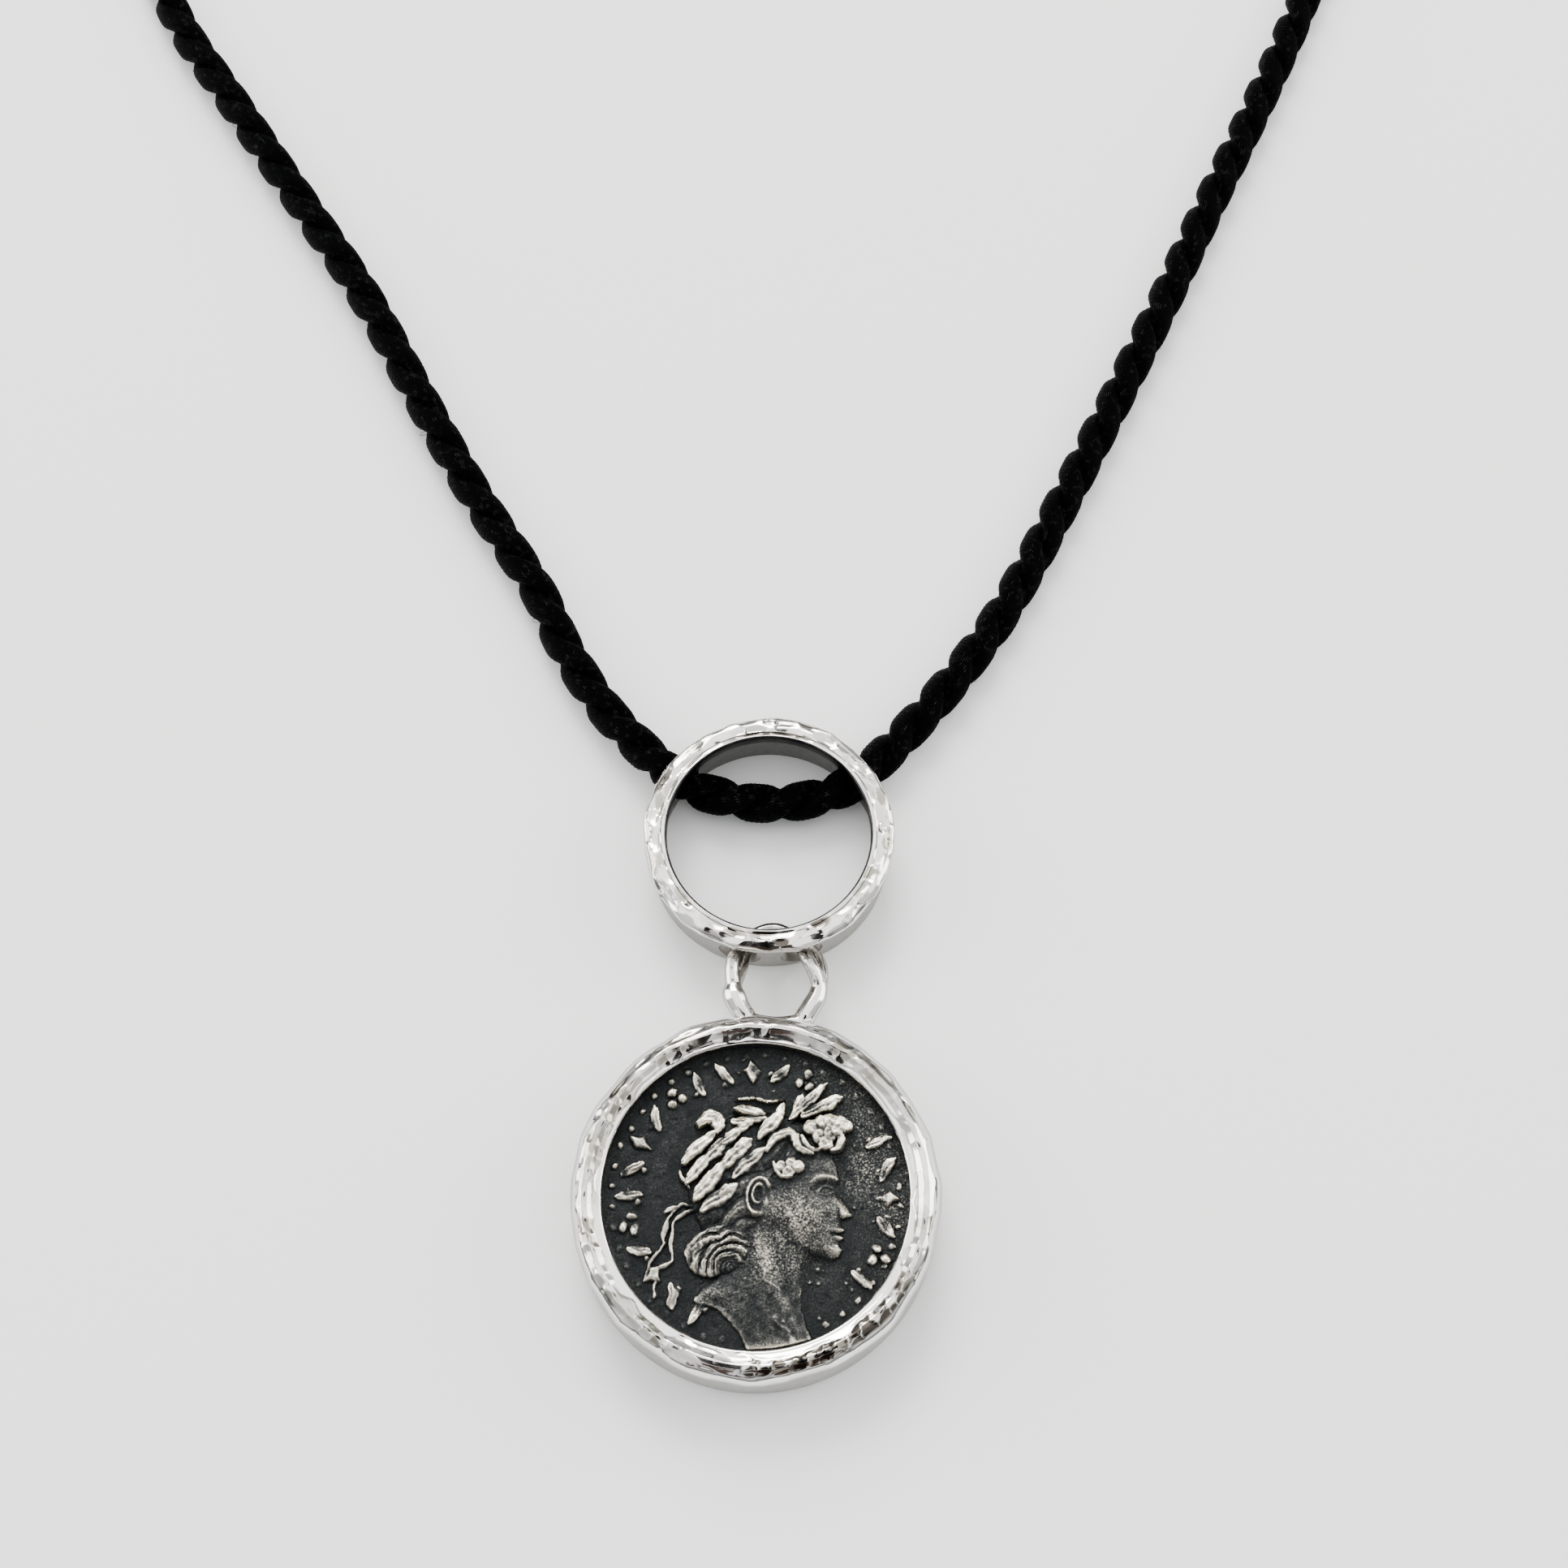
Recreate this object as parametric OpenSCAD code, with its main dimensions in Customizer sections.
// Coin pendant on a twisted cord: a coin in a hammered bezel, hung by a forked loop
// in a drilled bail ring. It lies face up, its back on z = 0 and its top along +Y.
// All lengths are in millimetres and all angles in degrees.

/* [Coin] */
// Diameter of the whole coin, its hidden edge included
coin_d = 18.6; // [17.5:0.1:19.2]
// Thickness of the coin without its relief
coin_t = 2.2; // [1.6:0.1:2.4]
// Height of the raised head above the field
relief_h = 0.4; // [0.2:0.05:0.6]
// Height of the raised border ornament above the field
ornament_h = 0.25; // [0.1:0.05:0.4]
// Height of the head from chin to crown
head_h = 9.0; // [7.5:0.1:9.6]
// Number of pellets in the border
pellets = 44; // [24:1:56]
// Diameter of a border pellet
pellet_d = 0.5; // [0.3:0.05:0.7]
// Radius of the row of pellets from the coin's centre
pellet_ring_r = 8.35; // [8.0:0.05:8.5]
// Length of a leaf in the border sprig
leaf_l = 1.7; // [1.2:0.1:2.2]

/* [Bezel] */
// Outer diameter of the bezel
bezel_d = 21.6; // [21:0.1:24]
// Depth of the bezel from its back to the crest of its rim
bezel_depth = 4.8; // [4.6:0.1:6]
// Diameter of the opening that shows the coin
window_d = 17.9; // [16.8:0.1:18.1]
// Thickness of the lip over the coin's edge
lip_t = 0.6; // [0.4:0.05:0.8]
// Radius of the rounded rim
rim_r = 0.8; // [0.6:0.05:0.85]
// Thickness of the closed back
back_t = 1.2; // [0.8:0.1:1.5]
// Clearance round the coin
coin_gap = 0.06; // [0.03:0.01:0.15]
// Chamfer of the back edges
back_chamfer = 0.35; // [0.2:0.05:0.5]

/* [Bail ring] */
// Outer diameter of the ring's front face
ring_d = 15.6; // [15:0.1:17]
// Diameter of the open eye at the front face
eye_d = 12.7; // [12:0.1:13]
// Depth of the ring from back to front
ring_depth = 4.0; // [3.9:0.1:4.8]
// Thickness of the front face
face_t = 0.8; // [0.6:0.05:1.0]
// Inner diameter of the wall behind the front face
wall_inner_d = 13.7; // [13.4:0.1:13.9]
// Thickness of the wall
wall_t = 0.65; // [0.5:0.05:0.8]
// Diameter of the holes in the wall
hole_d = 2.7; // [2.65:0.05:2.8]
// Distance between the centres of coin and ring along the drop
drop = 22.65; // [22.5:0.05:22.8]
// How far the ring's centre lies to the side of the coin's
ring_x = 0.7; // [0.4:0.05:1.0]
// Angle of each loop hole from the foot of the ring
loop_hole_angle = 15; // [14:0.5:16]
// Turn of the whole ring, anticlockwise
ring_turn = 1; // [-1:0.5:3]
// Direction of the left cord hole before the turn
left_cord_hole = 141; // [138:1:144]
// Direction of the right cord hole before the turn
right_cord_hole = 38; // [35:1:41]

/* [Loop] */
// Thickness of the single wire at the loop's feet
leg_d = 1.05; // [0.9:0.05:1.1]
// Thickness of each of the two wires in the fork
strand_d = 0.8; // [0.6:0.05:0.85]
// Distance between the two legs, centre to centre
loop_w = 5.3; // [5.0:0.1:5.5]
// How far the loop stands to the side of the coin's centre
loop_x = 1.2; // [1.0:0.05:1.4]
// Distance between the two forked wires, front to back
fork_z = 0.9; // [0.85:0.05:1.0]
// Clearance between the arch of the loop and the ring's wall
arch_gap = 0.25; // [0.15:0.05:0.4]

/* [Hammering] */
// Number of dents round the bezel's rim
bezel_dents = 34; // [16:1:44]
// Number of dents round the ring's face
ring_dents = 22; // [12:1:28]
// Width of a dent
dent_d = 1.1; // [0.7:0.05:1.3]
// Depth of a dent
dent_depth = 0.09; // [0.04:0.01:0.14]

/* [Cord] */
// Mean thickness of the twisted cord
cord_d = 2.3; // [2.0:0.05:2.4]
// Length of the clasp
clasp_l = 24; // [20:1:28]
// Diameter of the clasp
clasp_d = 4.4; // [4:0.1:5]
// Depth of the cup at each end of the clasp
cup_depth = 5; // [3:0.5:7]
// Clearance round and behind the cord's end in its cup
cup_gap = 0.15; // [0.1:0.05:0.3]

/* [Hidden] */
$fn = 96;
eps = 0.02;

// Places of the coin and the ring, so that the drop lies centred on the origin
coin_y = -(drop + ring_d / 2 - bezel_d / 2) / 2;
ring_y = coin_y + drop;
coin_z = back_t + coin_gap;
field_z = coin_z + coin_t;
lip_z = field_z + coin_gap;
hole_z = ring_depth - face_t - 0.1 - hole_d / 2;

// Points of the loop's wires. Across: shares of half the loop's width, from its axis.
// Along: 0 at the bezel's edge, 1 at the inside of the ring's wall. Front to back: shares
// of half the fork.
loop_y1 = ring_y - wall_inner_d / 2;
arch_rise = arch_gap + strand_d / 2;
LEFT_LEG = [[-0.58, -0.04, 0], [-0.70, 0.10, 0], [-0.90, 0.30, 0], [-1.00, 0.52, 0], [-1.01, 0.62, 0.1]];
RIGHT_LEG = [[0.64, -0.04, 0], [0.74, 0.10, 0], [0.90, 0.30, 0], [0.97, 0.52, 0], [0.97, 0.62, 0.1]];
FRONT_WIRE = [[-0.96, 0.44, 0], [-1.01, 0.60, 0.4], [-1.04, 0.80, 0.8], [-0.92, 0.98, 1], [-0.55, 1.09, 1],
    [-0.08, 1.15, 1], [0.38, 1.09, 1], [0.60, 0.96, 1], [0.76, 0.80, 0.8], [0.91, 0.60, 0.4], [0.96, 0.44, 0]];
BACK_WIRE = [[-0.96, 0.44, 0], [-0.93, 0.60, -0.4], [-0.84, 0.80, -0.8], [-0.74, 0.97, -1], [-0.44, 1.12, -1],
    [0.05, 1.16, -1], [0.56, 1.08, -1], [0.86, 0.96, -1], [1.00, 0.80, -0.8], [0.99, 0.60, -0.4], [0.96, 0.44, 0]];

function loop_across(share) = loop_x + share * loop_w / 2;
function edge_y(share) = coin_y + sqrt(pow(bezel_d / 2, 2) - pow(loop_across(share), 2));
function loop_point(p) = [loop_across(p[0]),
    p[1] <= 1 ? edge_y(p[0]) + p[1] * (loop_y1 - edge_y(p[0])) : loop_y1 + (p[1] - 1) / 0.15 * arch_rise,
    hole_z + p[2] * fork_z / 2];

// Outline of the head, facing right. Across and up: shares of the head's height, from
// the middle of the coin. The face is plain, with brow, nose and chin a third apart.
FACE = [[0.52, 0.40], [0.555, 0.26], [0.55, 0.19], [0.585, 0.10], [0.625, 0.02], [0.60, -0.025],
    [0.555, -0.045], [0.575, -0.09], [0.555, -0.125], [0.57, -0.16], [0.545, -0.195], [0.55, -0.25],
    [0.50, -0.31], [0.42, -0.325], [0.33, -0.29], [0.29, -0.36], [0.27, -0.48], [0.30, -0.62],
    [0.38, -0.76], [0.24, -0.84], [0.05, -0.875], [-0.15, -0.85], [-0.36, -0.76], [-0.20, -0.60],
    [-0.12, -0.45], [-0.12, -0.30], [-0.10, 0.30]];
// Centre of the skull, as shares of the head's height, and its radius
SKULL = [0.10, 0.18];
SKULL_R = 0.415;
// Leaves of the wreath: across, up, direction
WREATH = [[-0.24, 0.06, 118], [-0.21, 0.23, 95], [-0.12, 0.37, 72], [0.01, 0.48, 48], [0.14, 0.55, 34],
    [0.27, 0.57, 20], [0.39, 0.55, 60]];
// Knot of hair at the nape: across, up, radius
NAPE = [[-0.20, -0.24, 0.13], [-0.10, -0.20, 0.12], [-0.30, -0.20, 0.09]];
// Curls over the forehead and round the temple: across, up, radius
CURLS = [[0.50, 0.41, 0.055], [0.43, 0.35, 0.065], [0.36, 0.29, 0.06], [0.29, 0.24, 0.05]];
EAR = [0.085, 0.03, 0.075];

// Point at share t of the span between b and c of a smooth curve
function smooth(a, b, c, d, t) = 0.5 * (2 * b + (c - a) * t + (2 * a - 5 * b + 4 * c - d) * t * t
    + (3 * b - a - 3 * c + d) * t * t * t);
function span(points, i, t) = let (n = len(points) - 1)
    smooth(points[max(i - 1, 0)], points[i], points[i + 1], points[min(i + 2, n)], t);
// Points of a smooth curve through the given ones, with count steps to a span
function curve(points, count) = concat(
    [for (i = [0 : len(points) - 2]) for (k = [0 : count - 1]) span(points, i, k / count)],
    [points[len(points) - 1]]);

function along(path, i) = let (v = path[min(i + 1, len(path) - 1)] - path[max(i - 1, 0)]) v / norm(v);
function across(path, i) = let (v = cross(along(path, i), [0, 0, 1])) v / norm(v);
function ring_at(path, i, d, sides) = let (u = across(path, i), w = cross(u, along(path, i)))
    [for (k = [0 : sides - 1]) path[i] + d / 2 * (cos(k * 360 / sides) * u + sin(k * 360 / sides) * w)];

// Closed tube along a path that never points straight up
module tube(path, d, sides) {
    n = len(path);
    points = [for (i = [0 : n - 1]) each ring_at(path, i, d, sides)];
    walls = [for (i = [0 : n - 2]) for (k = [0 : sides - 1])
        let (a = i * sides + k, b = i * sides + (k + 1) % sides) [a, b, b + sides, a + sides]];
    start = [for (k = [0 : sides - 1]) sides - 1 - k];
    end = [for (k = [0 : sides - 1]) (n - 1) * sides + k];
    polyhedron(points, concat([start], walls, [end]), convexity = 10);
}

// Round wire along a smooth curve through points of the loop
module wire(points, d) {
    tube(curve([for (p = points) loop_point(p)], 2), d, 10);
}

// Shallow round marks of a hammer, on a circle of radius r at height z
module dents(count, r, z, start) {
    ball = (pow(dent_d / 2, 2) + pow(dent_depth, 2)) / (2 * dent_depth);
    for (i = [0 : count - 1])
        rotate(start + i * 360 / count)
            translate([r + 0.22 * sin(i * 137), 0, z + ball - dent_depth * (1.0 + 0.3 * sin(i * 97))])
                sphere(r = ball, $fn = 32);
}

module bezel_section() {
    r = bezel_d / 2;
    difference() {
        union() {
            polygon([[0, 0], [r - back_chamfer, 0], [r, back_chamfer], [r, bezel_depth - rim_r], [0, bezel_depth - rim_r]]);
            translate([r - rim_r, bezel_depth - rim_r]) circle(r = rim_r, $fn = 24);
            translate([window_d / 2, lip_z]) square([r - rim_r - window_d / 2, lip_t]);
        }
        translate([-eps, back_t]) square([coin_d / 2 + coin_gap + eps, lip_z - back_t]);
        translate([-eps, back_t]) square([window_d / 2 + eps, bezel_depth]);
        translate([window_d / 2 - eps, lip_z + lip_t]) square([r - 2 * rim_r - window_d / 2 + eps, bezel_depth]);
    }
}

// Foot of the loop, a length of the same wire laid along the bezel's edge
module loop_foot() {
    left = loop_point(LEFT_LEG[0]) - [0, coin_y, 0];
    right = loop_point(RIGHT_LEG[0]) - [0, coin_y, 0];
    from = atan2(right[1], right[0]);
    translate([0, coin_y, hole_z])
        rotate(from)
            rotate_extrude(angle = atan2(left[1], left[0]) - from, $fn = 72)
                translate([bezel_d / 2 + 0.12, 0]) circle(d = leg_d * 0.85, $fn = 16);
}

module coin_bezel() {
    color("silver") {
        translate([0, coin_y, 0])
            difference() {
                rotate_extrude($fn = 72) bezel_section();
                dents(bezel_dents, bezel_d / 2 - rim_r, bezel_depth, 4);
            }
        loop_foot();
        wire(LEFT_LEG, leg_d);
        wire(RIGHT_LEG, leg_d);
        wire(FRONT_WIRE, strand_d);
        wire(BACK_WIRE, strand_d);
    }
}

module ring_section() {
    edge = face_t / 2;
    wall_r = wall_inner_d / 2;
    translate([wall_r, 0]) square([wall_t, ring_depth - edge]);
    translate([eye_d / 2, ring_depth - face_t]) square([ring_d / 2 - edge - eye_d / 2, face_t]);
    translate([ring_d / 2 - edge, ring_depth - edge]) circle(r = edge, $fn = 24);
}

module wall_hole(direction) {
    rotate(direction)
        translate([wall_inner_d / 2 - 0.4, 0, hole_z])
            rotate([0, 90, 0])
                cylinder(d = hole_d, h = wall_t + 1.2, $fn = 48);
}

module bail_ring() {
    color("silver")
        translate([ring_x, ring_y, 0])
            rotate(ring_turn)
                difference() {
                    rotate_extrude($fn = 72) ring_section();
                    wall_hole(-90 - loop_hole_angle);
                    wall_hole(-90 + loop_hole_angle);
                    wall_hole(left_cord_hole);
                    wall_hole(right_cord_hole);
                    dents(ring_dents, (ring_d + eye_d) / 4, ring_depth, 9);
                }
}

// Leaf with two pointed ends, lying along +X from the origin
module leaf(l, w) {
    r = (l * l / 4 + w * w / 4) / w;
    intersection() {
        translate([l / 2, r - w / 2]) circle(r = r, $fn = 48);
        translate([l / 2, w / 2 - r]) circle(r = r, $fn = 48);
    }
}

module raised(h) {
    translate([0, 0, coin_t - eps]) linear_extrude(h + eps) children();
}

module head_relief() {
    raised(relief_h * 0.7)
        intersection() {
            union() {
                polygon([for (p = FACE) p * head_h]);
                translate(SKULL * head_h) circle(r = SKULL_R * head_h);
            }
            circle(d = window_d - 0.4);
        }
    raised(relief_h * 0.85)
        for (k = NAPE)
            translate([k[0], k[1]] * head_h) circle(r = k[2] * head_h, $fn = 32);
    raised(relief_h)
        for (k = WREATH)
            translate([k[0], k[1]] * head_h) rotate(k[2] - 100) leaf(0.19 * head_h, 0.075 * head_h);
    raised(relief_h * 0.95)
        for (k = CURLS)
            translate([k[0], k[1]] * head_h) circle(r = k[2] * head_h, $fn = 24);
    raised(relief_h * 0.95)
        translate([EAR[0], EAR[1]] * head_h)
            difference() {
                circle(r = EAR[2] * head_h, $fn = 32);
                circle(r = EAR[2] * head_h / 2, $fn = 32);
            }
}

// Two ends of the wreath's ribbon behind the neck
module ribbon() {
    raised(ornament_h)
        for (k = [0, 1])
            translate([(-0.42 - 0.09 * k) * head_h, (-0.36 + 0.02 * k) * head_h])
                rotate(62 + 14 * k)
                    leaf(0.36 * head_h, 0.05 * head_h);
}

// Border of pellets with a sprig of leaf pairs along the left, top and right
module border() {
    for (i = [0 : pellets - 1])
        rotate(i * 360 / pellets)
            translate([pellet_ring_r, 0, coin_t - eps])
                cylinder(d = pellet_d, h = ornament_h * 0.8 + eps, $fn = 16);
    raised(ornament_h)
        for (a = [-25 : 14 : 215])
            if (abs(a - 47) > 16)
                for (side = [-1, 1])
                    rotate(a) translate([pellet_ring_r - 1.15, 0]) rotate(90 - 38 * side) leaf(leaf_l * 0.6, 0.42);
}

module coin() {
    color([0.25, 0.26, 0.28])
        translate([0, coin_y, coin_z]) {
            cylinder(d = coin_d, h = coin_t, $fn = 128);
            head_relief();
            ribbon();
            border();
        }
}

// Route of the cord from the clasp's left cup, down the left side, through the ring and
// up the right side. It rests on z = 0 and rises a little to the holes of the ring.
cord_rest_z = 1.25;
ROUTE = [
    [-20, 172, 1.5], [-28, 168.2, 1.3], [-35.5, 161.8, 1.25], [-41.5, 152.8, 1.25],
    [-45.3, 142, 1.25], [-47.2, 130, 1.25], [-48, 118, 1.25], [-48.4, 106, 1.25], [-48.2, 95.5, 1.25],
    [-46.7, 86.5, 1.25], [-43.4, 78.6, 1.25], [-38.7, 71.2, 1.25], [-33.1, 62.5, 1.25], [-27.8, 54.2, 1.25],
    [-23.6, 46.3, 1.25], [-19.4, 38.6, 1.25], [-14.8, 31.2, 1.25], [-12.5, 26.4, 1.3], [-9.4, 21.6, 1.5],
    [-5, 17.2, 1.75], [-2, 16, 1.7], [0.8, 15.6, 1.7], [3.6, 16, 1.7], [6.3, 17.25, 1.75],
    [10.4, 21.6, 1.5], [14.1, 26.4, 1.3], [17.1, 31.2, 1.25], [20.9, 38.6, 1.25],
    [24.7, 46.3, 1.25], [28.5, 54.2, 1.25], [32.3, 62.5, 1.25], [36.4, 71.2, 1.25], [40, 79.4, 1.25],
    [43.2, 88, 1.25], [45.6, 97.5, 1.25], [47, 107.5, 1.25], [47.4, 118.5, 1.25], [47, 130, 1.25],
    [45.3, 142, 1.25], [41.5, 152.8, 1.25], [35.5, 161.8, 1.25], [28, 168.2, 1.3], [20, 172, 1.5]];
clasp_y = 173.6;
clasp_z = clasp_d / 2;
cord_end_x = clasp_l / 2 - cup_depth + cup_gap;
PATH = concat(
    [[-cord_end_x, clasp_y, clasp_z], [-clasp_l / 2 - 0.5, clasp_y, clasp_z]],
    ROUTE,
    [[clasp_l / 2 + 0.5, clasp_y, clasp_z], [cord_end_x, clasp_y, clasp_z]]);

function steps(i) = norm(PATH[i + 1] - PATH[i]) > 8.2 ? 2 : 1;
CENTRES = concat(
    [for (i = [0 : len(PATH) - 2]) for (k = [0 : steps(i) - 1]) span(PATH, i, k / steps(i))],
    [PATH[len(PATH) - 1]]);

module cord() {
    color([0.05, 0.05, 0.05]) tube(CENTRES, cord_d, 8);
}

module clasp() {
    cup_r = cord_d / 2 + cup_gap;
    color("silver")
        translate([0, clasp_y, clasp_z])
            rotate([0, 90, 0])
                difference() {
                    cylinder(d = clasp_d, h = clasp_l, center = true);
                    for (side = [-1, 1])
                        translate([0, 0, side * (clasp_l / 2 - cup_depth / 2 + eps)])
                            cylinder(r = cup_r, h = cup_depth + 2 * eps, center = true);
                }
}

bail_ring();
coin_bezel();
coin();
cord();
clasp();
